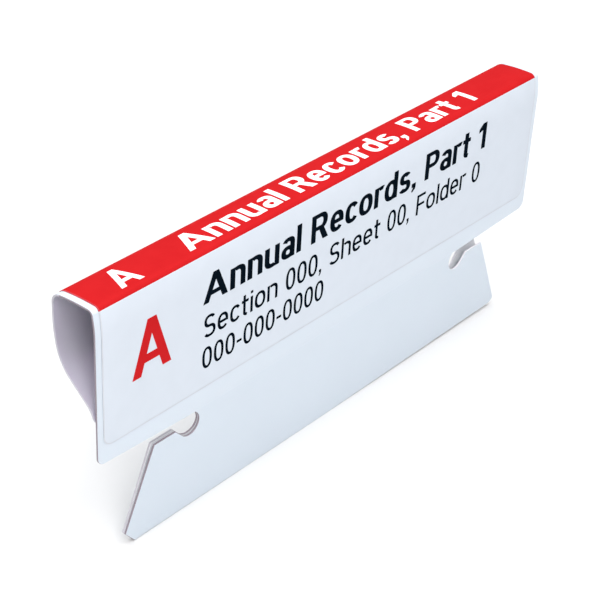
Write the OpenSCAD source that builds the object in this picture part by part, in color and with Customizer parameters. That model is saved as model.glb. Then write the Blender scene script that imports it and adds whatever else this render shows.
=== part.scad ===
// Index tab for a hanging folder, with a label that wraps over its top.
// One thin plastic sheet is folded at two creases into a hollow ridge. Its
// front and rear layers each end in a tongue, and the two tongues lie
// together and go into the slots of the folder, where their hooks catch.
// Frame: the origin is where the tab stands on the folder's top edge, midway
// along the tab and between the two layers. +X runs along the tab, -Y faces
// the reader and +Z is up.

/* [Tab] */
// Length of the tab, a third of a letter-size folder
tab_len = 88.9; // [70:0.1:110]
// Thickness of the plastic sheet
sheet_t = 0.28; // [0.2:0.01:0.34]
// Height of the top above the ends of the front wall's bottom edge
wall_h = 22.8; // [22:0.05:26]
// Depth of the ridge over the sheet
depth = 7.48; // [7.2:0.01:9]
// Radius of the front wall's bottom corners
corner_r = 1.2; // [0.5:0.1:3]
// How much lower the front wall's bottom edge is at the tongue
edge_dip = 0.65; // [0.1:0.05:1.2]

/* [Folds] */
// Outer radius of the slight bend in the front wall below its fold
brow_r = 16; // [10:1:40]
// Lean of the front wall's top after that bend, in degrees
brow_turn = 12; // [2:1:15]
// Outer radius of the front fold
front_fold_r = 0.75; // [0.6:0.05:1.2]
// Outer radius of the rear fold
rear_fold_r = 1.6; // [1:0.05:2]
// Downward slope at the rear of the crowned top, in degrees
top_slope = 9; // [7:1:16]
// How far up the front fold the crease lies, in degrees
front_crease = 25; // [20:1:60]
// How far down the rear fold the crease lies, as a share of the fold
rear_crease = 0.5; // [0.3:0.05:0.7]

/* [Rear wall] */
// Straight drop below the rear fold
rear_drop = 1.7; // [0.5:0.1:3]
// Outer radius of the gentle bend
gentle_r = 21.3; // [15:0.1:25]
// Lean of the wall after the gentle bend, in degrees
gentle_turn = 12; // [8:1:15]
// Outer radius of the tighter bend
tight_r = 6.9; // [5:0.1:8]
// Lean of the ramp that leads back to the front wall, in degrees
ramp_turn = 51; // [45:1:55]
// Outer radius of the foot, which turns the wall down again
foot_r = 3.3; // [2:0.1:4]
// Gap between the front and the rear layer
layer_gap = 0.08; // [0.05:0.01:0.2]

/* [Tongues] */
// Offset of both tongues from the middle of the tab
tongue_shift = -0.4; // [-1:0.1:1]
// Width of a tongue across its shoulders
shoulder_w = 69; // [66:0.5:72]
// Depth of the shoulders below the front wall's end corners
shoulder_drop = 2; // [1.5:0.1:2.5]
// Width of a tongue at its bottom, before the corners are cut
foot_w = 81; // [76:0.5:86]
// Depth of a tongue at its left end and at its right end
tongue_drops = [15.65, 15.1]; // [14:0.05:18]
// How much a tongue's bottom edge bellies down in the middle
tongue_dip = 0.3; // [0.1:0.05:1]
// Cut of the left bottom corner, along and up
left_cut = [2.5, 1.95]; // [0.5:0.1:4]
// Radius of the right bottom corner
right_r = 1.4; // [0.5:0.1:3]

/* [Hook notches] */
// Width of the neck between the two notches
neck_w = 52.9; // [50:0.1:56]
// Radius of a notch's closed end
notch_r = 1.75; // [1.2:0.05:2]
// Depth of the notch's centre below the front wall's end corners
notch_drop = 2.1; // [1.8:0.05:2.4]
// Distance from the neck to the flat of the shoulder
notch_w = 4.25; // [3.8:0.05:5]

/* [Label] */
// Thickness of the label
label_t = 0.1; // [0.06:0.01:0.15]
// Margin between the label and each end of the tab
label_margin = 0.95; // [0.5:0.05:2]
// Height of the label's bottom edge on the front wall
label_low = 2.5; // [1:0.1:4]
// Radius of the label's bottom corners
label_r = 1.5; // [1:0.1:4]
// Lean of the rear wall at which the label's rear edge lies, in degrees
label_end = 34; // [20:1:45]

/* [Hidden] */
$fn = 96;

// Degrees between two points of a bend
bend_step = 3;
// Outer faces of the front wall and the rear wall
front_y = -sheet_t;
rear_y = depth - sheet_t;
// Length of the label
label_len = tab_len - 2 * label_margin;

// Half the width of the root of a tongue, above the round ends of its notches
root_half = neck_w / 2 + notch_r;
// Bottom corners of a tongue before they are cut, and the lean of its sides
left_foot = [-foot_w / 2, -tongue_drops[0]];
right_foot = [foot_w / 2, -tongue_drops[1]];
side_lean = atan((foot_w - shoulder_w) / 2 / (tongue_drops[0] - shoulder_drop));
// The round right corner, tangent to the bottom edge and to the side
right_reach = right_r * tan(45 + side_lean / 2);
right_corner_c = right_foot + [-right_reach, right_r];

// Centres of the slight bend and of the front fold, which meet at its lean
brow_gap = brow_r - front_fold_r;
front_c = [front_y + brow_r - brow_gap * cos(brow_turn), wall_h - front_fold_r];
brow_c = [front_y + brow_r, front_c[1] - brow_gap * sin(brow_turn)];
// Centre of the crown, and of the rear fold at the crown's far end
crown_end = 90 - top_slope;
crown_r = rear_fold_r + (rear_y - rear_fold_r - front_c[0]) / cos(crown_end);
crown_c = [front_c[0], wall_h - crown_r];
rear_c = [rear_y - rear_fold_r, crown_c[1] + (crown_r - rear_fold_r) * sin(crown_end)];

// Angles of the two creases about the centres of their folds
front_cut = 180 - front_crease;
rear_cut = crown_end * (1 - rear_crease);

// Centres of the rear wall's bends, from the top down
gentle_c = [rear_y - gentle_r, rear_c[1] - rear_drop];
tight_c = gentle_c + (gentle_r - tight_r) * [cos(gentle_turn), -sin(gentle_turn)];
ramp_top = tight_c + tight_r * [cos(ramp_turn), -sin(ramp_turn)];
foot_y = layer_gap + sheet_t;
ramp_bottom_y = foot_y + foot_r * (1 - cos(ramp_turn));
ramp_bottom_z = ramp_top[1] - (ramp_top[0] - ramp_bottom_y) / tan(ramp_turn);
foot_c = [foot_y + foot_r, ramp_bottom_z - foot_r * sin(ramp_turn)];

// A point on a tongue's left side at a height above its foot
function side_point(h) = [h * tan(side_lean), h];

// Points of a bend about c, from angle a to angle b
function bend(c, r, a, b) =
    let (n = max(1, ceil(abs(b - a) / bend_step)))
    [for (i = [0 : n]) c + r * [cos(a + (b - a) * i / n), sin(a + (b - a) * i / n)]];

// Lines at a distance d outside the sheet's outer face
function front_fold_line(d) = concat(
    bend(brow_c, brow_r + d, 180, 180 - brow_turn),
    bend(front_c, front_fold_r + d, 180 - brow_turn, front_cut));
function top_line(d) = concat(
    bend(front_c, front_fold_r + d, front_cut, 90),
    bend(crown_c, crown_r + d, 90, crown_end),
    bend(rear_c, rear_fold_r + d, crown_end, rear_cut));
function rear_top_line(d, lean) = concat(
    bend(rear_c, rear_fold_r + d, rear_cut, 0),
    bend(gentle_c, gentle_r + d, 0, -gentle_turn),
    bend(tight_c, tight_r + d, -gentle_turn, -lean));
function rear_line(d) = concat(
    rear_top_line(d, ramp_turn),
    bend(foot_c, foot_r - d, 180 - ramp_turn, 180));
function reversed(list) = [for (i = [len(list) - 1 : -1 : 0]) list[i]];

// A sheet between two lines of the end view, as long as the tab or the label
module formed(inner, outer, length) {
    translate([-length / 2, 0, 0])
    rotate([90, 0, 90])
    linear_extrude(length)
    polygon(concat(inner, reversed(outer)));
}

// A flat sheet cut to an outline seen from the front, from y to y + t
module flat(y, t) {
    translate([0, y + t, 0])
    rotate([90, 0, 0])
    linear_extrude(t)
    children();
}

// Outline with rounded bottom corners and a straight top where the wall bends
module rounded_low(half, low, top, r) {
    translate([-half, low + r]) square([2 * half, top - low - r]);
    translate([-half + r, low]) square([2 * (half - r), r]);
    for (side = [-1, 1])
        translate([side * (half - r), low + r]) circle(r);
}

module front_wall_outline() {
    rounded_low(tab_len / 2, 0, brow_c[1], corner_r);
    polygon([
        [-tab_len / 2 + corner_r, 0],
        [tongue_shift - root_half, -edge_dip],
        [tongue_shift + root_half, -edge_dip],
        [tab_len / 2 - corner_r, 0]]);
}

// What one hook notch takes away, on the +X side of a tongue
module notch() {
    centre = [root_half, -notch_drop];
    slant = notch_r * sin(45);
    translate(centre) circle(notch_r);
    polygon([
        centre,
        [centre[0], -shoulder_drop],
        [centre[0], 0],
        [neck_w / 2 + notch_w, 0],
        [neck_w / 2 + notch_w, -shoulder_drop],
        centre + [slant, -slant]]);
}

// Outline of a tongue whose neck reaches up to a given height
module tongue_outline(neck_top) {
    translate([tongue_shift, 0])
    difference() {
        union() {
            polygon([
                [-shoulder_w / 2, -shoulder_drop],
                left_foot + side_point(left_cut[1]),
                left_foot + [left_cut[0], 0],
                [0, -(tongue_drops[0] + tongue_drops[1]) / 2 - tongue_dip],
                right_foot - [right_reach, 0],
                each bend(right_corner_c, right_r, -90, -side_lean),
                [shoulder_w / 2, -shoulder_drop]]);
            translate([-root_half, -notch_drop]) square([2 * root_half, notch_drop + neck_top]);
        }
        for (side = [0, 1]) mirror([side, 0]) notch();
    }
}

module front_wall() {
    color("white") {
        flat(front_y, sheet_t) front_wall_outline();
        formed(front_fold_line(-sheet_t), front_fold_line(0), tab_len);
    }
}

module front_tongue() {
    color("aliceblue") flat(front_y, sheet_t) tongue_outline(-edge_dip);
}

module top_wall() {
    color("white") formed(top_line(-sheet_t), top_line(0), tab_len);
}

module rear_wall() {
    color("white") formed(rear_line(-sheet_t), rear_line(0), tab_len);
}

module rear_tongue() {
    color("lavender") flat(layer_gap, sheet_t) tongue_outline(foot_c[1]);
}

module label_front() {
    color("ghostwhite") {
        flat(front_y - label_t, label_t) rounded_low(label_len / 2, label_low, brow_c[1], label_r);
        formed(front_fold_line(0), front_fold_line(label_t), label_len);
    }
}

module label_top() {
    color("crimson") formed(top_line(0), top_line(label_t), label_len);
}

module label_rear() {
    color("ghostwhite")
    formed(rear_top_line(0, label_end), rear_top_line(label_t, label_end), label_len);
}

front_wall();
front_tongue();
top_wall();
rear_wall();
rear_tongue();
label_front();
label_top();
label_rear();
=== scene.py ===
import math

import bmesh
import bpy
from mathutils import Matrix, Vector
from mathutils.geometry import delaunay_2d_cdt


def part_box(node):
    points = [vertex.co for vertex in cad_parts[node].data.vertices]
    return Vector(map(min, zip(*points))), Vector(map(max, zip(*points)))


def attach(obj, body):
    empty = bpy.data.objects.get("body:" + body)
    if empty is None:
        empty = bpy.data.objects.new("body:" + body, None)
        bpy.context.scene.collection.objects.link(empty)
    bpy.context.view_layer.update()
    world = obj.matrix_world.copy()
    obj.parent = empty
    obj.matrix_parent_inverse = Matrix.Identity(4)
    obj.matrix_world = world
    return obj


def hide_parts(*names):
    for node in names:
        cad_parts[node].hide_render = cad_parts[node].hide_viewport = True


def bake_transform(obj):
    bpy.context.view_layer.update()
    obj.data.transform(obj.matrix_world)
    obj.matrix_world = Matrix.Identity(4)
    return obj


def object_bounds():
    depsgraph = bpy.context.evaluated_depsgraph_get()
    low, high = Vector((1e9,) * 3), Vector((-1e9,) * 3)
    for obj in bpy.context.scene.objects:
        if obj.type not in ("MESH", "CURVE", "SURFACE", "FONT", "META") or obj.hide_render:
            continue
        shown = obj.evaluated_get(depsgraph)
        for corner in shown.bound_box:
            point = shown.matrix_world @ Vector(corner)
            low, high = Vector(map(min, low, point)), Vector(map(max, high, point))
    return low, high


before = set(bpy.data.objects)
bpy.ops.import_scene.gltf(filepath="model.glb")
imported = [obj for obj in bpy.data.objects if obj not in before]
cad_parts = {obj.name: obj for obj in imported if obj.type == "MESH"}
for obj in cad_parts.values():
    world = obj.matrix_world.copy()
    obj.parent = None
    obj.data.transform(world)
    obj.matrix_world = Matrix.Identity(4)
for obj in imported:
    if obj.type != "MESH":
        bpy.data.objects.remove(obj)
cad_low, cad_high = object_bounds()

MM = 0.001
COLLECTION = bpy.context.scene.collection


def millimetres(node):
    low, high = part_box(node)
    return low / MM, high / MM


# Sizes read from the CAD frame, in millimetres
wall_high = millimetres("front_wall")[1]
tongue_low, tongue_high = millimetres("front_tongue")
label_low, label_high = millimetres("label_front")
TAB_HALF = wall_high.x
SHEET_T = tongue_high.y - tongue_low.y
FRONT_Y = tongue_low.y
TOP_Z = millimetres("top_wall")[1].z
REAR_Y = millimetres("rear_wall")[1].y
REAR_TONGUE_Y = millimetres("rear_tongue")[1].y
LABEL_HALF = label_high.x
LABEL_LOW = label_low.z
LABEL_T = FRONT_Y - label_low.y
TONGUE_X = (tongue_low.x + tongue_high.x) / 2

# The bends of the sheet from the front wall round to the rear tongue, in millimetres and degrees
BROW_R, BROW_TURN = 16.0, 12
FRONT_R, REAR_R = 0.75, 1.6
FRONT_CREASE, REAR_CREASE = 25, 0.5
TOP_SLOPE = 9
REAR_DROP = 1.7
GENTLE_R, GENTLE_TURN = 21.3, 12
TIGHT_R, RAMP_TURN = 6.9, 51
FOOT_R = 3.3
# The outline that the sheet is cut to
CORNER_R, EDGE_DIP = 1.2, 0.65
SHOULDER_HALF, SHOULDER_DROP = 34.5, 2.0
FOOT_HALF = 40.5
LEFT_DROP, RIGHT_DROP, TONGUE_DIP = 15.65, 15.1, 0.3
LEFT_CUT = (2.5, 1.95)
RIGHT_R = 1.4
NECK_HALF, NOTCH_R, NOTCH_DROP, NOTCH_W = 26.45, 1.75, 2.1, 4.25
ROOT_HALF = NECK_HALF + NOTCH_R
# How far the rear tongue's ears stand away from the front tongue, at the shoulders and at the foot
LEFT_EAR, RIGHT_EAR, EAR_FOOT = 0.34, 1.0, 0.04
# Where the ears start, inside the neck and above the wall's ends, and how far on they reach their full stand
EAR_INSIDE, EAR_ABOVE = 1.2, 1.5
EAR_WIDTH, EAR_HEIGHT, EAR_RETURN = 5, 3, 12
# The score line between the tongue's root corners: half its width, half its floor and its depth
SCORE_HALF, SCORE_FLOOR, SCORE_DEPTH = 0.12, 0.05, 0.018
# The label's corners, and the lean of the rear wall where the label ends
LABEL_R = 1.5
LABEL_LEAN = 34
# Widths of the softened cut edges of the sheet and of the label
RIM, LABEL_RIM = 0.035, 0.18
# The film of ink starts a little above the label and ends at its own thickness
INK_START, INK_END = 0.002, 0.012
# How finely the flat sheet is cut into columns, and into rows where it stays straight
COLUMN, ROW = 3, 2
# Millimetres of the flat sheet to one unit of its map
MAP_UNIT = 100


def turn(degrees):
    return math.cos(math.radians(degrees)), math.sin(math.radians(degrees))


# ---- the folded line of the sheet, seen from the end ----

class Straight:
    def __init__(self, start, end, lean):
        self.start, self.end = Vector(start), Vector(end)
        self.length = (self.end - self.start).length
        self.normal = Vector(turn(lean))

    def at(self, along, out):
        return self.start.lerp(self.end, along / self.length) + self.normal * out


class Bend:
    """An arc of the sheet's outer face. On a hollow bend the outer face is the one near the centre."""

    def __init__(self, centre, radius, first, last, hollow=False):
        self.centre, self.radius, self.first, self.last = Vector(centre), radius, first, last
        self.hollow = hollow
        self.length = radius * math.radians(abs(last - first))

    def at(self, along, out):
        angle = self.first + (self.last - self.first) * along / self.length
        reach = self.radius - out if self.hollow else self.radius + out
        return self.centre + Vector(turn(angle)) * reach


brow_gap = (BROW_R - FRONT_R) * Vector(turn(BROW_TURN))
front_c = Vector((FRONT_Y + BROW_R - brow_gap.x, TOP_Z - FRONT_R))
brow_c = Vector((FRONT_Y + BROW_R, front_c.y - brow_gap.y))
crown_end = 90 - TOP_SLOPE
crown_r = REAR_R + (REAR_Y - REAR_R - front_c.x) / turn(crown_end)[0]
crown_c = Vector((front_c.x, TOP_Z - crown_r))
rear_c = Vector((REAR_Y - REAR_R, crown_c.y + (crown_r - REAR_R) * turn(crown_end)[1]))
gentle_c = Vector((REAR_Y - GENTLE_R, rear_c.y - REAR_DROP))
tight_c = gentle_c + (GENTLE_R - TIGHT_R) * Vector(turn(-GENTLE_TURN))
ramp_top = tight_c + TIGHT_R * Vector(turn(-RAMP_TURN))
ramp_low_y = REAR_TONGUE_Y + FOOT_R * (1 - turn(RAMP_TURN)[0])
ramp_low = Vector((ramp_low_y, ramp_top.y - (ramp_top.x - ramp_low_y) / math.tan(math.radians(RAMP_TURN))))
foot_c = Vector((REAR_TONGUE_Y + FOOT_R, ramp_low.y - FOOT_R * turn(RAMP_TURN)[1]))

TONGUE_LOW = min(-LEFT_DROP, -RIGHT_DROP) - 1
LINE = [
    Straight((FRONT_Y, TONGUE_LOW), (FRONT_Y, brow_c.y), 180),
    Bend(brow_c, BROW_R, 180, 180 - BROW_TURN),
    Bend(front_c, FRONT_R, 180 - BROW_TURN, 90),
    Bend(crown_c, crown_r, 90, crown_end),
    Bend(rear_c, REAR_R, crown_end, 0),
    Straight((REAR_Y, rear_c.y), (REAR_Y, gentle_c.y), 0),
    Bend(gentle_c, GENTLE_R, 0, -GENTLE_TURN),
    Bend(tight_c, TIGHT_R, -GENTLE_TURN, -RAMP_TURN),
    Straight(ramp_top, ramp_low, -RAMP_TURN),
    Bend(foot_c, FOOT_R, 180 - RAMP_TURN, 180, hollow=True),
    Straight((REAR_TONGUE_Y, foot_c.y), (REAR_TONGUE_Y, TONGUE_LOW), 0),
]
# Where each stretch starts along the flat sheet; up to the slight bend this is the height itself
STARTS = [TONGUE_LOW]
for stretch in LINE:
    STARTS.append(STARTS[-1] + stretch.length)
FOLD_1, CROWN, FOLD_2, BACK = STARTS[2:6]
TIGHT, REAR_FLAT = STARTS[7], STARTS[10]
FRONT_CUT = FOLD_1 + FRONT_R * math.radians(FRONT_CREASE - BROW_TURN)
REAR_CUT = BACK - REAR_R * math.radians(crown_end * (1 - REAR_CREASE))
LABEL_END = TIGHT + TIGHT_R * math.radians(LABEL_LEAN - GENTLE_TURN)


def folded(x, u, out):
    """A point of the flat sheet, once it is folded: x along it, u up and over, out from its outer face."""
    i = 0
    while i < len(LINE) - 1 and u > STARTS[i + 1]:
        i += 1
    y, z = LINE[i].at(u - STARTS[i], out)
    return Vector((x, y, z))


def ease(t):
    t = min(1.0, max(0.0, t))
    return t * t * (3 - 2 * t)


def with_score(x, u, out):
    """The front layer, with a shallow score line between the roots of its two notches."""
    groove = ease(1 - abs(u + EDGE_DIP) / SCORE_HALF) * ease((ROOT_HALF - abs(x - TONGUE_X)) * 2)
    return folded(x, u, out - SCORE_DEPTH * groove if out > -SHEET_T / 2 else out)


def with_ears(x, u, out):
    """The rear layer, whose ears stand a little away from the front layer beyond the neck.
    The right one stands further away, and both come back to the front layer towards the foot."""
    p = folded(x, u, out)
    beyond = ease((abs(x - TONGUE_X) - NECK_HALF + EAR_INSIDE) / EAR_WIDTH)
    below = ease((EAR_ABOVE - p.z) / EAR_HEIGHT)
    lower = ease((-p.z - SHOULDER_DROP) / EAR_RETURN)
    stand = RIGHT_EAR if x > 0 else LEFT_EAR
    p.y += beyond * below * (stand + (EAR_FOOT - stand) * lower)
    return p


# ---- flat outlines, x along the tab and u up the sheet ----

def arc(cx, cy, r, first, last, step=6):
    n = max(1, round(abs(last - first) / step))
    return [(cx + r * turn(first + (last - first) * i / n)[0],
             cy + r * turn(first + (last - first) * i / n)[1]) for i in range(n + 1)]


def tongue_points(notch_top):
    """The tongue's outline as heights, from the right end of its root round to the left one.
    Each notch is round at its closed end, up to the angle notch_top."""
    lean = math.degrees(math.atan((FOOT_HALF - SHOULDER_HALF) / (LEFT_DROP - SHOULDER_DROP)))
    reach = RIGHT_R * math.tan(math.radians(45 + lean / 2))
    right = [*arc(ROOT_HALF, -NOTCH_DROP, NOTCH_R, notch_top, 315),
             (NECK_HALF + NOTCH_W, -SHOULDER_DROP), (SHOULDER_HALF, -SHOULDER_DROP)]
    left = [(-x, z) for x, z in reversed(right)]
    side = LEFT_CUT[1] * math.tan(math.radians(lean))
    points = [
        *right,
        *reversed(arc(FOOT_HALF - reach, RIGHT_R - RIGHT_DROP, RIGHT_R, -90, -lean)),
        (0, -(LEFT_DROP + RIGHT_DROP) / 2 - TONGUE_DIP),
        (-FOOT_HALF + LEFT_CUT[0], -LEFT_DROP),
        (-FOOT_HALF + side, LEFT_CUT[1] - LEFT_DROP),
        *left,
    ]
    return [(x + TONGUE_X, z) for x, z in points]


def low_corners(half, low, r):
    """The rounded bottom corners of a sheet, left and right, where u grows upward."""
    return arc(-half + r, low + r, r, 180, 270), arc(half - r, low + r, r, -90, 0)


def end_corners(half, end, r):
    """The rounded corners at the far end of the flat sheet, left and right."""
    return arc(-half + r, end - r, r, 90, 180), arc(half - r, end - r, r, 0, 90)


def front_outline():
    tongue = tongue_points(180 - math.degrees(math.asin((NOTCH_DROP - EDGE_DIP) / NOTCH_R)))
    left, right = low_corners(TAB_HALF, 0, CORNER_R)
    dip = [(TONGUE_X - ROOT_HALF, -EDGE_DIP), *reversed(tongue), (TONGUE_X + ROOT_HALF, -EDGE_DIP)]
    return [(TAB_HALF, FOLD_1), (-TAB_HALF, FOLD_1), *left, *dip, *right]


def rear_outline():
    tongue = [(x, REAR_FLAT + foot_c.y - z) for x, z in tongue_points(90)]
    left, right = end_corners(TAB_HALF, REAR_FLAT, CORNER_R)
    root = [(TONGUE_X + ROOT_HALF, REAR_FLAT), *tongue, (TONGUE_X - ROOT_HALF, REAR_FLAT)]
    return [(-TAB_HALF, BACK), (TAB_HALF, BACK), *right, *root, *left]


def strip(half, first, last):
    return [(-half, first), (half, first), (half, last), (-half, last)]


def label_face_outline():
    left, right = low_corners(LABEL_HALF, LABEL_LOW, LABEL_R)
    return [*left, *right, (LABEL_HALF, FOLD_1), (-LABEL_HALF, FOLD_1)]


def label_back_outline():
    left, right = end_corners(LABEL_HALF, LABEL_END, LABEL_R)
    return [(-LABEL_HALF, BACK), (LABEL_HALF, BACK), *right, *left]


# ---- meshes ----

# The kinds of face of a sheet, which are also its first three material slots
FACE, CUT_EDGE, INSIDE = 0, 1, 2


def flat_face(outline):
    flat = bmesh.new()
    flat.faces.new([flat.verts.new((x, u, 0)) for x, u in outline])
    return flat


def cut(flat, axis, places):
    normal = (1, 0, 0) if axis == 0 else (0, 1, 0)
    for place in places:
        everything = flat.verts[:] + flat.edges[:] + flat.faces[:]
        point = tuple(place * n for n in normal)
        bmesh.ops.bisect_plane(flat, geom=everything, dist=1e-4, plane_co=point, plane_no=normal)


def steps(first, last, step):
    n = max(1, math.ceil((last - first) / step))
    return [first + (last - first) * i / n for i in range(1, n)]


def bend_cuts(first, last, step=3):
    """Where the flat sheet is scored across, so that it bends smoothly."""
    places = []
    for stretch, start in zip(LINE, STARTS):
        if isinstance(stretch, Bend):
            n = max(1, math.ceil(abs(stretch.last - stretch.first) / step))
            places += [start + stretch.length * i / n for i in range(n + 1)]
        else:
            places += [start, *steps(start, start + stretch.length, ROW), start + stretch.length]
    return sorted({round(p, 4) for p in places if first + 0.02 < p < last - 0.02})


def border_of(flat, joined):
    """The flat mesh's border edges, and for each corner on it the sum of its edges' outward directions.
    Edges along the heights in joined have none, because the sheet goes on there in another piece."""
    border, outward = [], {}
    for edge in flat.edges:
        if len(edge.link_faces) != 1:
            continue
        loop = edge.link_loops[0]
        a, b = loop.vert, loop.link_loop_next.vert
        border.append((a.index, b.index))
        along = (b.co - a.co).normalized()
        at_join = any(abs(a.co.y - h) < 1e-3 and abs(b.co.y - h) < 1e-3 for h in joined)
        away = Vector((0, 0)) if at_join else Vector((along.y, -along.x))
        for v in (a, b):
            outward[v.index] = outward.get(v.index, Vector((0, 0))) + away
    return border, outward


def new_object(name, verts, faces, kinds, coords):
    """An object with a material index for each face, a map of the flat sheet, and sharp cut edges."""
    mesh = bpy.data.meshes.new(name)
    mesh.from_pydata(verts, [], faces)
    layer = mesh.uv_layers.new(name="Flat")
    for loop in mesh.loops:
        layer.data[loop.index].uv = coords[loop.vertex_index]
    mesh.polygons.foreach_set("material_index", kinds)
    mesh.polygons.foreach_set("use_smooth", [True] * len(faces))
    mesh.validate()
    bm = bmesh.new()
    bm.from_mesh(mesh)
    bmesh.ops.recalc_face_normals(bm, faces=bm.faces)
    bm.to_mesh(mesh)
    bm.free()
    mesh.set_sharp_from_angle(angle=math.radians(32))
    obj = bpy.data.objects.new(name, mesh)
    COLLECTION.objects.link(obj)
    return obj


def solid(name, flat, inner, outer, place, joined=(), rim=RIM):
    """A flat mesh made into a sheet between two offsets, with softened cut edges, and put in place.
    Along the heights in joined the sheet goes on in another piece, so its edge stays square there."""
    flat.normal_update()
    if sum(f.normal.z * f.calc_area() for f in flat.faces) < 0:
        bmesh.ops.reverse_faces(flat, faces=flat.faces[:])
    flat.verts.index_update()
    points = [(v.co.x, v.co.y) for v in flat.verts]
    border, outward = border_of(flat, joined)
    lip = min(rim, (outer - inner) * 0.4)
    verts, coords = [], []

    def add(x, u, out):
        verts.append(place(x, u, out) * MM)
        coords.append((x / MAP_UNIT, u / MAP_UNIT))
        return len(verts) - 1

    def inward(i):
        n = outward.get(i, Vector((0, 0)))
        shift = n.normalized() * rim if n.length > 1e-6 else Vector((0, 0))
        return points[i][0] - shift.x, points[i][1] - shift.y

    count = len(points)
    top = [add(*inward(i), outer) for i in range(count)]
    low = [add(*inward(i), inner) for i in range(count)]
    rings = [top, low]
    if rim:
        ring_top = {i: add(*points[i], outer - lip) for i in outward}
        ring_low = {i: add(*points[i], inner + lip) for i in outward}
        rings = [top, ring_top, ring_low, low]
    faces, kinds = [], []
    for face in flat.faces:
        loop = [v.index for v in face.verts]
        faces.append([top[i] for i in loop])
        faces.append([low[i] for i in reversed(loop)])
        kinds += [FACE, INSIDE]
    for a, b in border:
        for high, below in zip(rings, rings[1:]):
            faces.append([high[a], below[a], below[b], high[b]])
            kinds.append(CUT_EDGE)
    flat.free()
    return new_object(name, verts, faces, kinds, coords)


def sheet_piece(name, outline, half, joined, place=folded,
                inner=-SHEET_T, outer=0.0, step=3, rim=RIM, scores=()):
    """A piece of the folded sheet, cut across every few degrees of a bend and at the given scores."""
    flat = flat_face(outline)
    heights = [u for _, u in outline]
    cut(flat, 1, [*bend_cuts(min(heights), max(heights), step), *scores])
    cut(flat, 0, steps(-half, half, COLUMN))
    return solid(name, flat, inner, outer, place, joined, rim)


def label_piece(name, outline, joined, step=3):
    """A piece of the label, which lies on the outer face of the sheet."""
    return sheet_piece(name, outline, LABEL_HALF, joined, inner=0.0, outer=LABEL_T, step=step, rim=LABEL_RIM)


def paint(obj, face, edge, inside=None):
    """Gives a sheet the materials of its face, its cut edge and its inside."""
    for each in (face, edge, inside or face):
        obj.data.materials.append(each)
    return obj


def repaint(obj, kind, other, where):
    """Gives the faces of one kind another material, where a test on the flat sheet's x and u holds."""
    obj.data.materials.append(other)
    flat = obj.data.uv_layers["Flat"].data
    for face in obj.data.polygons:
        middle = sum((flat[i].uv for i in face.loop_indices), Vector((0, 0))) / face.loop_total * MAP_UNIT
        if face.material_index == kind and where(middle.x, middle.y):
            face.material_index = len(obj.data.materials) - 1


# ---- materials ----

def material(name):
    made = bpy.data.materials.new(name)
    made.use_nodes = True
    nodes, links = made.node_tree.nodes, made.node_tree.links
    return made, nodes, links, nodes["Principled BSDF"]


def noise(nodes, links, source, scale, detail=3.0, stretch=(1, 1, 1), roughness=0.5):
    mapping = nodes.new("ShaderNodeMapping")
    mapping.inputs["Scale"].default_value = stretch
    links.new(source, mapping.inputs["Vector"])
    texture = nodes.new("ShaderNodeTexNoise")
    texture.inputs["Scale"].default_value = scale
    texture.inputs["Detail"].default_value = detail
    texture.inputs["Roughness"].default_value = roughness
    links.new(mapping.outputs["Vector"], texture.inputs["Vector"])
    return texture.outputs["Fac"]


def between(nodes, links, value, colours):
    ramp = nodes.new("ShaderNodeValToRGB")
    ramp.color_ramp.elements[0].position = colours[0][0]
    ramp.color_ramp.elements[0].color = (*colours[0][1], 1)
    ramp.color_ramp.elements[1].position = colours[-1][0]
    ramp.color_ramp.elements[1].color = (*colours[-1][1], 1)
    for position, colour in colours[1:-1]:
        ramp.color_ramp.elements.new(position).color = (*colour, 1)
    links.new(value, ramp.inputs["Fac"])
    return ramp.outputs["Color"]


def in_range(nodes, links, value, low, high):
    node = nodes.new("ShaderNodeMapRange")
    node.inputs["To Min"].default_value = low
    node.inputs["To Max"].default_value = high
    links.new(value, node.inputs["Value"])
    return node.outputs["Result"]


def bumps(nodes, links, shader, heights):
    """Adds bumps of given distances, in metres, one over the other."""
    below = None
    for value, distance, strength in heights:
        bump = nodes.new("ShaderNodeBump")
        bump.inputs["Distance"].default_value = distance
        bump.inputs["Strength"].default_value = strength
        links.new(value, bump.inputs["Height"])
        if below:
            links.new(below, bump.inputs["Normal"])
        below = bump.outputs["Normal"]
    links.new(below, shader.inputs["Normal"])


def plastic(name, tint, shade, through=0.25, depth=0.0004):
    """Matte white sheet plastic: a fine calendered grain, faint clouding and tiny flow lines along it."""
    made, nodes, links, shader = material(name)
    place = nodes.new("ShaderNodeTexCoord").outputs["Object"]
    clouds = noise(nodes, links, place, 90, 2.0)
    grain = noise(nodes, links, place, 5200, 2.0)
    flow = noise(nodes, links, place, 900, 2.0, (0.12, 1, 1))
    links.new(between(nodes, links, clouds, [(0.3, shade), (0.7, tint)]), shader.inputs["Base Color"])
    links.new(in_range(nodes, links, grain, 0.34, 0.5), shader.inputs["Roughness"])
    shader.inputs["Specular IOR Level"].default_value = 0.2
    shader.inputs["Subsurface Weight"].default_value = through
    shader.inputs["Subsurface Radius"].default_value = (0.6, 0.5, 0.55)
    shader.inputs["Subsurface Scale"].default_value = depth
    bumps(nodes, links, shader, [(flow, 0.00002, 0.25), (grain, 0.000012, 0.35)])
    return made


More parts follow.
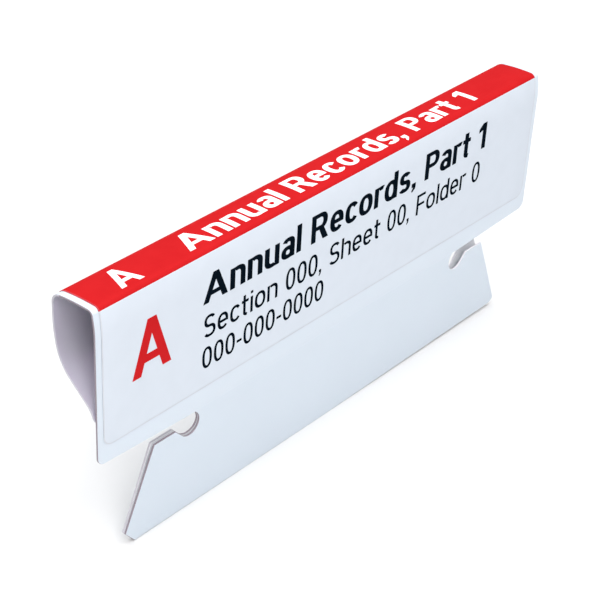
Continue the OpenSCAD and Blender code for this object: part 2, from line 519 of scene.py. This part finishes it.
def paper(name, tint, shade, gloss=0.0, specular=0.03):
    """Coated label paper, or print on it: short soft fibres, faint mottling and a slight sheen."""
    made, nodes, links, shader = material(name)
    place = nodes.new("ShaderNodeTexCoord").outputs["Object"]
    mottle = noise(nodes, links, place, 420, 4.0)
    fibre = noise(nodes, links, place, 2600, 3.0, (0.35, 1, 1), 0.6)
    tooth = noise(nodes, links, place, 7000, 2.0)
    links.new(between(nodes, links, mottle, [(0.35, shade), (0.65, tint)]), shader.inputs["Base Color"])
    links.new(in_range(nodes, links, fibre, 0.5 - gloss, 0.66 - gloss), shader.inputs["Roughness"])
    shader.inputs["Specular IOR Level"].default_value = specular
    bumps(nodes, links, shader, [(fibre, 0.00001, 0.4), (tooth, 0.000006, 0.3)])
    return made


white_plastic = plastic("white_plastic", (0.645, 0.705, 0.775), (0.632, 0.692, 0.762))
# Painted shade: a darker copy of the white plastic for the tongue
tongue_painted_shade = plastic("tongue_painted_shade", (0.62, 0.682, 0.752), (0.608, 0.67, 0.74))
# Painted shade: a darker, lilac copy of the white plastic for the inside of the hollow; its glow through the
# sheet is subsurface light
inner_painted_shade = plastic("inner_painted_shade", (0.52, 0.50, 0.575), (0.50, 0.48, 0.555), 0.8, 0.0007)
cut_plastic = plastic("cut_plastic", (0.74, 0.73, 0.77), (0.67, 0.65, 0.70))
# Painted shade: a grey copy of the cut-edge plastic for the rear layer's cut edges
grey_painted_shade_cut = plastic("grey_painted_shade_cut", (0.52, 0.51, 0.55), (0.44, 0.43, 0.47))
# Painted shade: a dark copy of the cut-edge plastic, for cut edges in shade
shaded_cut = plastic("shaded_cut", (0.29, 0.25, 0.285), (0.24, 0.205, 0.235))
white_paper = paper("white_paper", (0.64, 0.687, 0.755), (0.628, 0.675, 0.742))
# The label's cut edge: the paper's greyer core, darkened further with painted shade for the line round the
# label
paper_edge_and_painted_shade = paper("paper_edge_and_painted_shade", (0.62, 0.64, 0.69), (0.57, 0.59, 0.64))
red_ink = paper("red_ink", (0.495, 0.0125, 0.0150), (0.475, 0.0110, 0.0136), 0.06)
red_edge = paper("red_edge", (0.50, 0.06, 0.07), (0.42, 0.05, 0.06))
letter_ink = paper("letter_red_ink", (0.55, 0.0100, 0.0130), (0.525, 0.0090, 0.0115), 0.05)
dark_ink = paper("dark_ink", (0.0030, 0.0065, 0.0120), (0.0015, 0.0040, 0.0080), 0.1, 0.0)
# White print on the red band; the same bright colour is also painted light on the rear tongue's near face
white_print_and_painted_light = paper("white_print_and_painted_light", (0.87, 0.86, 0.88), (0.84, 0.83, 0.85))

# ---- the folded plastic sheet ----

score_rows = [-EDGE_DIP + d for d in (-SCORE_HALF, -SCORE_FLOOR, SCORE_FLOOR, SCORE_HALF)]
front_layer = sheet_piece("front_layer", front_outline(), TAB_HALF, [FOLD_1], with_score,
                          scores=[*score_rows, foot_c.y])
top_layer = sheet_piece("top_layer", strip(TAB_HALF, CROWN, FOLD_2), TAB_HALF, [CROWN, FOLD_2], step=1.5)
rear_layer = sheet_piece("rear_layer", rear_outline(), TAB_HALF, [BACK], with_ears)
front_crease = sheet_piece("front_crease", strip(TAB_HALF, FOLD_1, CROWN), TAB_HALF, [FOLD_1, CROWN])
rear_crease = sheet_piece("rear_crease", strip(TAB_HALF, FOLD_2, BACK), TAB_HALF, [FOLD_2, BACK])
# The front layer, the top and the front crease: cut edges with dark painted shade, and inside faces with the
# hollow's painted shade
for piece in (front_layer, top_layer, front_crease):
    paint(piece, white_plastic, shaded_cut, inner_painted_shade)
# The rear layer and the rear crease: cut edges with grey painted shade, and inside faces with the hollow's
# painted shade
for piece in (rear_layer, rear_crease):
    paint(piece, white_plastic, grey_painted_shade_cut, inner_painted_shade)
# Painted shade: the tongue is a darker copy of the wall's plastic, and its cut edges have grey or dark
# painted shade on the left, darkest in the left notch, while on the right they keep a pale plastic colour
repaint(front_layer, FACE, tongue_painted_shade, lambda x, u: u < -EDGE_DIP)
repaint(front_layer, CUT_EDGE, cut_plastic, lambda x, u: x > 0 and u < 0)
# Below the foot the front layer's inside faces the rear tongue, not the hollow, so it has the plain white
# plastic instead of painted shade
repaint(front_layer, INSIDE, white_plastic, lambda x, u: u < foot_c.y)
repaint(rear_layer, CUT_EDGE, cut_plastic, lambda x, u: x > 0 and u > REAR_FLAT)
# Dark painted shade on the rear layer's cut edges in the left notch
repaint(rear_layer, CUT_EDGE, shaded_cut, lambda x, u: abs(x + NECK_HALF) < NOTCH_W and u > REAR_FLAT)
# Painted light: the rear tongue's face towards the front layer has the bright white print colour
repaint(rear_layer, INSIDE, white_print_and_painted_light, lambda x, u: u > REAR_FLAT)

# ---- the label that wraps over it ----

label_face = label_piece("label_face", label_face_outline(), [FOLD_1])
label_band = label_piece("label_band", strip(LABEL_HALF, CROWN, FOLD_2), [CROWN, FOLD_2], step=1.5)
label_back = label_piece("label_back", label_back_outline(), [BACK])
label_front_fold = label_piece("label_front_fold", strip(LABEL_HALF, FOLD_1, CROWN), [FOLD_1, CROWN])
label_rear_fold = label_piece("label_rear_fold", strip(LABEL_HALF, FOLD_2, BACK), [FOLD_2, BACK])
paint(label_band, red_ink, red_edge, white_paper)
# The label's cut edges have the paper edge colour with painted shade
for piece in (label_face, label_back, label_front_fold, label_rear_fold):
    paint(piece, white_paper, paper_edge_and_painted_shade)
# The red band goes on over each fold as far as its crease
for kind, red in ((FACE, red_ink), (CUT_EDGE, red_edge)):
    repaint(label_front_fold, kind, red, lambda x, u: u > FRONT_CUT)
    repaint(label_rear_fold, kind, red, lambda x, u: u < REAR_CUT)

# ---- print ----

# Shares of a capital's height: a small letter without a stem, and how far round strokes overshoot
SMALL = 0.74
OVER = 0.012
# How square the round strokes are: 1 is an ellipse, and less is squarer
SQUARENESS = 0.86


class Pen:
    """Draws plain letters, one capital high, with upright strokes of one width and level ones of another."""

    def __init__(self, wide, thin):
        self.wide, self.thin = wide, thin
        self.shapes = []

    def patch(self, *corners):
        """Adds a stroke with straight sides, turned anticlockwise if it isn't."""
        around = sum(a[0] * b[1] - b[0] * a[1] for a, b in zip(corners, corners[1:] + corners[:1]))
        self.shapes.append(corners if around > 0 else corners[::-1])

    def upright(self, x, low, high):
        self.patch((x, low), (x + self.wide, low), (x + self.wide, high), (x, high))

    def level(self, left, right, low):
        self.patch((left, low), (right, low), (right, low + self.thin), (left, low + self.thin))

    def bowl(self, left, low, right, high, first, last):
        """Part of a round stroke inside a box, squarer than an ellipse, from one angle to another."""
        middle_x, middle_y = (left + right) / 2, (low + high) / 2
        half_x, half_y = (right - left) / 2, (high - low) / 2

        def at(angle, x, y):
            c, s = turn(angle)
            return (middle_x + x * math.copysign(abs(c) ** SQUARENESS, c),
                    middle_y + y * math.copysign(abs(s) ** SQUARENESS, s))

        n = math.ceil(abs(last - first) / 10)
        angles = [first + (last - first) * i / n for i in range(n + 1)]
        for a, b in zip(angles, angles[1:]):
            inner = half_x - self.wide, half_y - self.thin
            self.patch(at(a, half_x, half_y), at(b, half_x, half_y), at(b, *inner), at(a, *inner))

    def arch(self, width):
        """The right leg and the shoulder of an n or an h."""
        self.bowl(0.02, SMALL - 0.52, width, SMALL + OVER, 0, 125)
        self.upright(width - self.wide, 0, SMALL - 0.25)
        return width

    def snake(self, width, high):
        """The double curve of an S, as high as given."""
        middle = high / 2
        self.bowl(0.02, middle - self.thin / 2, width - 0.02, high + OVER, 28, 270)
        self.bowl(0, -OVER, width, middle + self.thin / 2, 90, -152)
        return width

    def loop(self, width):
        """The stem and the closed bowl of a P or an R."""
        self.upright(0, 0, 1)
        self.level(0, width - 0.3, 1 - self.thin)
        self.level(0, width - 0.3, 0.40)
        self.bowl(width - 0.6, 0.40, width, 1, -90, 90)
        return width

    def draw(self, letter):
        """Draws a letter and gives its width."""
        w, h = self.wide, self.thin
        match letter:
            case "A":
                leg = 1.1 * w
                lean = 0.49 - leg / 2
                self.patch((0, 0), (leg, 0), (lean + leg, 1), (lean, 1))
                self.patch((0.98 - leg, 0), (0.98, 0), (0.98 - lean, 1), (0.98 - lean - leg, 1))
                self.level(0.25 * lean + leg / 2, 0.98 - 0.25 * lean - leg / 2, 0.22)
                return 0.98
            case "F":
                self.upright(0, 0, 1)
                self.level(0, 0.60, 1 - h)
                self.level(0, 0.55, 0.44)
                return 0.60
            case "P":
                return self.loop(0.68)
            case "R":
                self.patch((0.32, 0.46), (0.32 + 1.1 * w, 0.46), (0.76, 0), (0.76 - 1.2 * w, 0))
                return self.loop(0.70) + 0.05
            case "S":
                return self.snake(0.66, 1)
            case "a":
                self.upright(0.57 - w, 0, SMALL - 0.22)
                self.bowl(0.03, SMALL - 0.46, 0.57, SMALL + OVER, 0, 158)
                self.bowl(0, -OVER, 0.56, 0.455, 0, 360)
                return 0.57
            case "c":
                self.bowl(0, -OVER, 0.60, SMALL + OVER, 36, 324)
                return 0.55
            case "d":
                self.bowl(0, -OVER, 0.61, SMALL + OVER, 0, 360)
                self.upright(0.62 - w, 0, 1)
                return 0.62
            case "e":
                self.bowl(0, -OVER, 0.60, SMALL + OVER, -8, 320)
                self.level(w / 2, 0.59, (SMALL - h) / 2)
                return 0.60
            case "h":
                self.upright(0, 0, 1)
                return self.arch(0.62)
            case "i":
                self.upright(0, 0, SMALL)
                self.upright(0, 1 - h, 1)
                return w
            case "l":
                self.upright(0, 0, 1)
                return w
            case "n":
                self.upright(0, 0, SMALL)
                return self.arch(0.62)
            case "o":
                self.bowl(0, -OVER, 0.63, SMALL + OVER, 0, 360)
                return 0.63
            case "r":
                self.upright(0, 0, SMALL)
                self.bowl(0.02, SMALL - 0.52, 0.64, SMALL + OVER, 70, 125)
                return 0.40
            case "s":
                return self.snake(0.56, SMALL)
            case "t":
                self.upright(0.09, 0.15, 0.96)
                self.level(0, 0.40, SMALL - h)
                self.bowl(0.09, -OVER, 0.61, 0.35, 180, 265)
                return 0.40
            case "u":
                self.upright(0, 0.25, SMALL)
                self.bowl(0, -OVER, 0.60, 0.52, 180, 305)
                self.upright(0.62 - w, 0, SMALL)
                return 0.62
            case "0":
                self.bowl(0, -OVER, 0.58, 1 + OVER, 0, 360)
                return 0.58
            case "1":
                self.upright(0.2, 0, 1)
                self.patch((0.2, 1), (0, 0.83), (0, 0.83 - h), (0.22, 0.9 - h))
                return 0.2 + w
            case ",":
                self.upright(0, 0, h)
                self.patch((w * 0.4, 0), (w, 0), (w * 0.9, -0.08), (w * 0.2, -0.19), (0, -0.14))
                return w
            case "-":
                self.level(0, 0.3, 0.33)
                return 0.3
        return 0.27


def printed(name, words, left, right, base, height, ink, wide, thin, gap=0.1, on_band=False):
    """Generic wording on the label, as a film of ink from left to right and a capital's height high.
    The strokes of a letter overlap, so they are made one with a triangulation that keeps what any covers."""
    flat = bmesh.new()
    along = 0.0
    for letter in words:
        pen = Pen(wide, thin)
        width = pen.draw(letter)
        if pen.shapes:
            corners = [Vector((along + x, y)) for shape in pen.shapes for x, y in shape]
            firsts = [sum(len(shape) for shape in pen.shapes[:i]) for i in range(len(pen.shapes))]
            shapes = [list(range(first, first + len(shape))) for first, shape in zip(firsts, pen.shapes)]
            points, _, faces, _, _, sources = delaunay_2d_cdt(corners, [], shapes, 3, 1e-6)
            verts = [flat.verts.new((p.x, p.y, 0)) for p in points]
            for face, source in zip(faces, sources):
                if source:
                    flat.faces.new([verts[i] for i in face])
        along += width + gap
    bmesh.ops.delete(flat, geom=[v for v in flat.verts if not v.link_faces], context="VERTS")
    scale = (right - left) / (along - gap)
    for v in flat.verts:
        v.co = (left + v.co.x * scale, base + v.co.y * height, 0)
    heights = [v.co.y for v in flat.verts]
    cut(flat, 1, bend_cuts(min(heights), max(heights), 1.0 if on_band else 1.75))
    film = solid(name, flat, LABEL_T + INK_START, LABEL_T + INK_END, folded, rim=0.0)
    return paint(film, ink, ink)


# Widths of the strokes and of the gap between letters, as shares of a capital's height
BOLD = {"wide": 0.20, "thin": 0.15, "gap": 0.085}
PLAIN = {"wide": 0.142, "thin": 0.122, "gap": 0.115}
HEADING, SECOND, THIRD = "Annual Records, Part 1", "Section 000, Sheet 00, Folder 0", "000-000-0000"
print_letter = printed("print_letter", "A", -38.7, -32.1, 10.0, 8.0, letter_ink, **BOLD)
print_heading = printed("print_heading", HEADING, -26.6, 31.7, 15.4, 4.2, dark_ink, **BOLD)
print_second = printed("print_second", SECOND, -26.4, 31.1, 10.2, 3.3, dark_ink, **PLAIN)
print_third = printed("print_third", THIRD, -26.6, -3.3, 5.5, 3.2, dark_ink, **PLAIN)
ON_BAND = {**BOLD, "on_band": True}
band_letter = printed("band_letter", "A", -38.8, -35.1, CROWN + 0.3, 4.2, white_print_and_painted_light, **ON_BAND)
band_heading = printed("band_heading", HEADING, -27.3, 31.0, CROWN + 0.45, 3.9, white_print_and_painted_light, **ON_BAND)

# ---- what each piece rides on and stands for ----

for piece in (front_layer, label_face, print_letter, print_heading, print_second, print_third):
    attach(piece, "front_panel")
for piece in (top_layer, label_band, band_letter, band_heading):
    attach(piece, "top_panel")
for piece in (rear_layer, label_back):
    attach(piece, "rear_flap")
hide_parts("front_wall", "front_tongue")
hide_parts("top_wall")
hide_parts("rear_wall", "rear_tongue")
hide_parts("label_front")
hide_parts("label_top")
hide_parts("label_rear")
for piece in (front_crease, label_front_fold):
    folded(0, FOLD_1, -SHEET_T) * MM
    folded(0, CROWN, -SHEET_T) * MM
    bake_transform(piece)
for piece in (rear_crease, label_rear_fold):
    folded(0, FOLD_2, -SHEET_T) * MM
    folded(0, BACK, -SHEET_T) * MM
    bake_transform(piece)

# ---- floor, light and camera ----

def floor(half, gap):
    """A plain pale floor, a hair below the part's lowest point."""
    made, nodes, links, shader = material("floor_paint")
    place = nodes.new("ShaderNodeTexCoord").outputs["Object"]
    soft = noise(nodes, links, place, 6, 2.0)
    shades = [(0.2, (0.71, 0.71, 0.715)), (0.8, (0.73, 0.73, 0.73))]
    links.new(between(nodes, links, soft, shades), shader.inputs["Base Color"])
    shader.inputs["Roughness"].default_value = 0.8
    mesh = bpy.data.meshes.new("floor")
    z = cad_low.z - gap
    corners = [(-half, -half, z), (half, -half, z), (half, half, z), (-half, half, z)]
    mesh.from_pydata(corners, [], [(0, 1, 2, 3)])
    obj = bpy.data.objects.new("floor", mesh)
    obj.data.materials.append(made)
    COLLECTION.objects.link(obj)


def area_light(name, place, target, size, power, colour):
    light = bpy.data.lights.new(name, "AREA")
    light.shape = "DISK"
    light.size = size
    light.energy = power
    light.color = colour
    obj = bpy.data.objects.new(name, light)
    COLLECTION.objects.link(obj)
    obj.location = place
    obj.rotation_euler = (Vector(target) - Vector(place)).to_track_quat("-Z", "Y").to_euler()


floor(half=3, gap=0.00002)
area_light("key_light", place=(-0.30, -0.42, 0.36), target=(0, 0, 0.005),
           size=0.30, power=1.38, colour=(1.0, 0.99, 0.98))
area_light("top_light", place=(-0.05, -0.08, 1.30), target=(0, 0, 0),
           size=1.80, power=28.5, colour=(1.0, 1.0, 1.0))
area_light("end_light", place=(-0.70, 0.10, 0.45), target=(0, 0, 0.005),
           size=0.35, power=1.0, colour=(1.0, 0.98, 1.0))

world = bpy.data.worlds.new("studio")
bpy.context.scene.world = world
world.use_nodes = True
world.node_tree.nodes["Background"].inputs["Color"].default_value = (0.97, 0.985, 1.0, 1)
world.node_tree.nodes["Background"].inputs["Strength"].default_value = 0.30

# The camera looks down on the front from the left, a little under three tab lengths away
CAMERA_PLACE = Vector((-153.27, -121.44, 135.01)) * MM
FORWARD = Vector((0.63674, 0.53080, -0.55930)).normalized()
UP = Vector((0.39241, 0.40132, 0.82762))
RIGHT = FORWARD.cross(UP).normalized()
UP = RIGHT.cross(FORWARD).normalized()
camera_data = bpy.data.cameras.new("camera")
camera_data.sensor_width = 36.0
camera_data.lens = 103.0
camera_data.clip_start = 0.01
camera_data.clip_end = 20.0
camera = bpy.data.objects.new("camera", camera_data)
COLLECTION.objects.link(camera)
camera.matrix_world = Matrix((
    (RIGHT.x, UP.x, -FORWARD.x, CAMERA_PLACE.x),
    (RIGHT.y, UP.y, -FORWARD.y, CAMERA_PLACE.y),
    (RIGHT.z, UP.z, -FORWARD.z, CAMERA_PLACE.z),
    (0, 0, 0, 1)))
bpy.context.scene.camera = camera
bpy.context.scene.view_settings.view_transform = "Standard"
